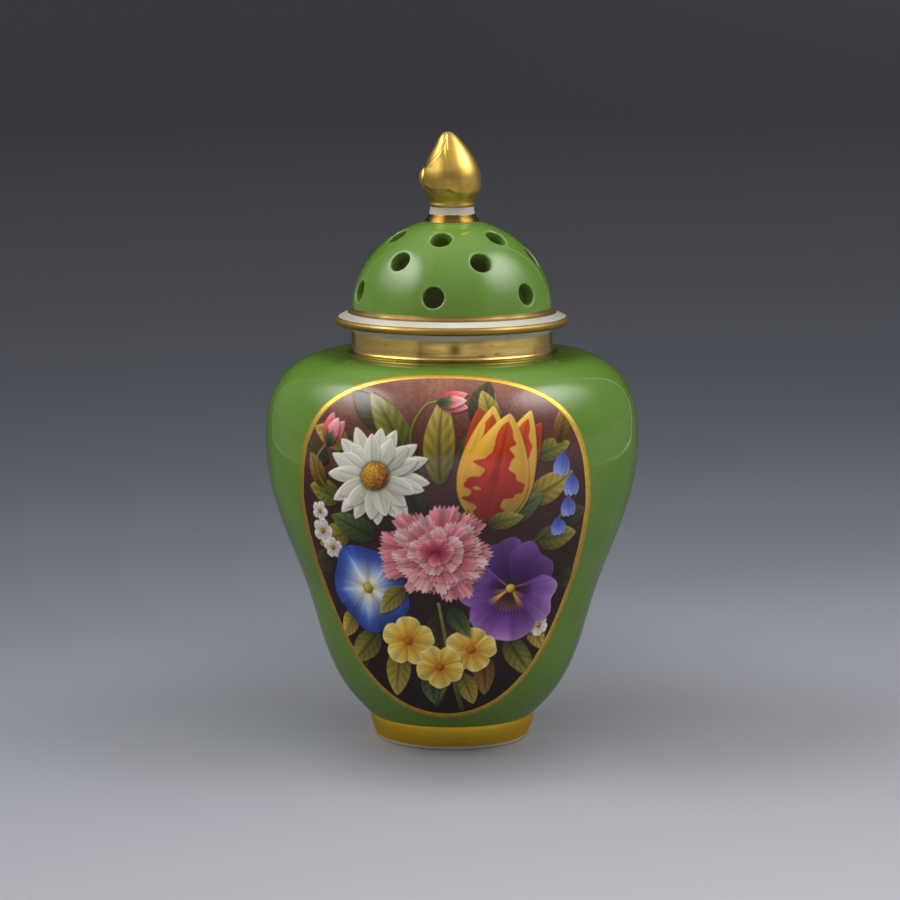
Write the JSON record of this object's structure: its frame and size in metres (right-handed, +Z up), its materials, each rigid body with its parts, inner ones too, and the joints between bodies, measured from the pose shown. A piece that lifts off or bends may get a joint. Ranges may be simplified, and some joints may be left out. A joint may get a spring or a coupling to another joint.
{
  "type": "potpourri vase",
  "caption": "Covered porcelain potpourri vase: swelling green body with a painted flower panel and gilt bands; its pierced domed cover with a gilt bud lifts off and turns freely.",
  "frame": {"origin": "centre of the foot ring's standing face", "axes": "+Z up along the vase's axis, -Y towards the viewer of the painted panel, +X to that viewer's right"},
  "size_m": [0.0918, 0.092, 0.15],
  "materials": {
    "green_glaze": "gloss",
    "white_porcelain": "gloss",
    "gilding": "burnished",
    "painted_enamel": "gloss"
  },
  "bodies": {
    "vase": {"vase_body": "green_glaze", "foot_ring": "white_porcelain", "foot_gilt_band": "gilding", "neck_collar": "white_porcelain", "neck_gilt_band": "gilding", "front_panel": "painted_enamel", "panel_gilt_border": "gilding"},
    "cover_seat": {"locating_ring": "white_porcelain"},
    "cover": {"cover_flange": "white_porcelain", "flange_gilt_edge": "gilding", "cover_dome": "green_glaze", "dome_gilt_line": "gilding", "finial_stem": "white_porcelain", "stem_gilt_band": "gilding", "bud_finial": "gilding"}
  },
  "joints": [
    {"name": "cover_lift", "type": "slide", "parent": "vase", "child": "cover_seat", "axis": [0, 0, 1], "range_m": [0, 0.08]},
    {"name": "cover_turn", "type": "hinge", "parent": "cover_seat", "child": "cover", "pos_m": [0, 0, 0.103], "axis": [0, 0, 1], "continuous": true}
  ]
}
